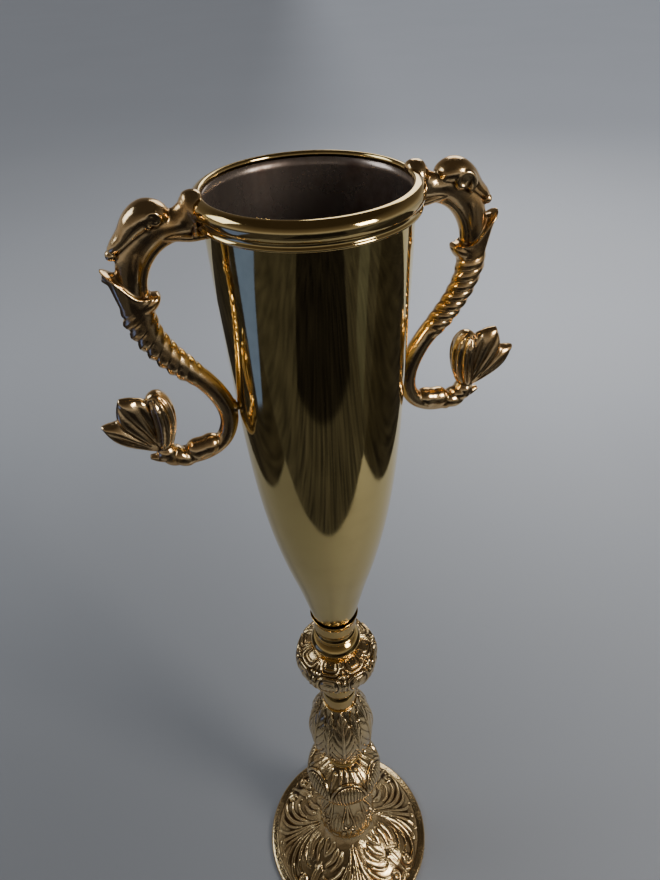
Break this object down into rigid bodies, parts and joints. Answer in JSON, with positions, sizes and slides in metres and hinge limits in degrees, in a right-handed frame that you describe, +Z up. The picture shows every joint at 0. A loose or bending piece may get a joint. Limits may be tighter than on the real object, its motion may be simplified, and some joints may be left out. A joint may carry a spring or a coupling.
{
  "type": "two-handled altar vase",
  "caption": "Tall footed brass altar vase in the manner of a ciborium: spun cup, half-round rim, serpent scroll handles, stacked ornate stem and domed relief foot.",
  "frame": {"origin": "centre of the foot's resting face, on the vase's axis", "axes": "+Z up the vase's axis to the mouth; the two handles lie along +X and -X"},
  "size_m": [0.2068, 0.1524, 0.6376],
  "materials": {
    "cast_brass": "cast relief, lacquered, bright on the high points and brown in the hollows",
    "turned_brass": "turned and polished",
    "spun_brass": "spun and mirror-polished outside, tarnished brown inside",
    "rim_brass": "turned, mirror-polished",
    "handle_brass": "cast and polished, brown in the hollows",
    "rod_steel": "plain zinc-plated steel",
    "screw_brass": "dull brass"
  },
  "bodies": {
    "root": {"foot": "cast_brass", "foot_washer": "rod_steel", "foot_lock_washer": "rod_steel", "foot_nut": "rod_steel", "tie_rod": "rod_steel", "base_cup": "cast_brass", "lower_neck": "turned_brass", "gadroon_bulb": "cast_brass", "waist_ring": "turned_brass", "leaf_baluster": "cast_brass", "neck_ring_lower": "turned_brass", "neck_ring_upper": "turned_brass", "knop": "cast_brass", "ball_cap": "turned_brass", "cup_collar": "turned_brass", "cup_body": "spun_brass", "rim_ring": "rim_brass", "cup_washer": "rod_steel", "cup_nut": "rod_steel", "left_handle": "handle_brass", "right_handle": "handle_brass", "handle_screws": "screw_brass", "handle_washers": "screw_brass"}
  },
  "joints": []
}
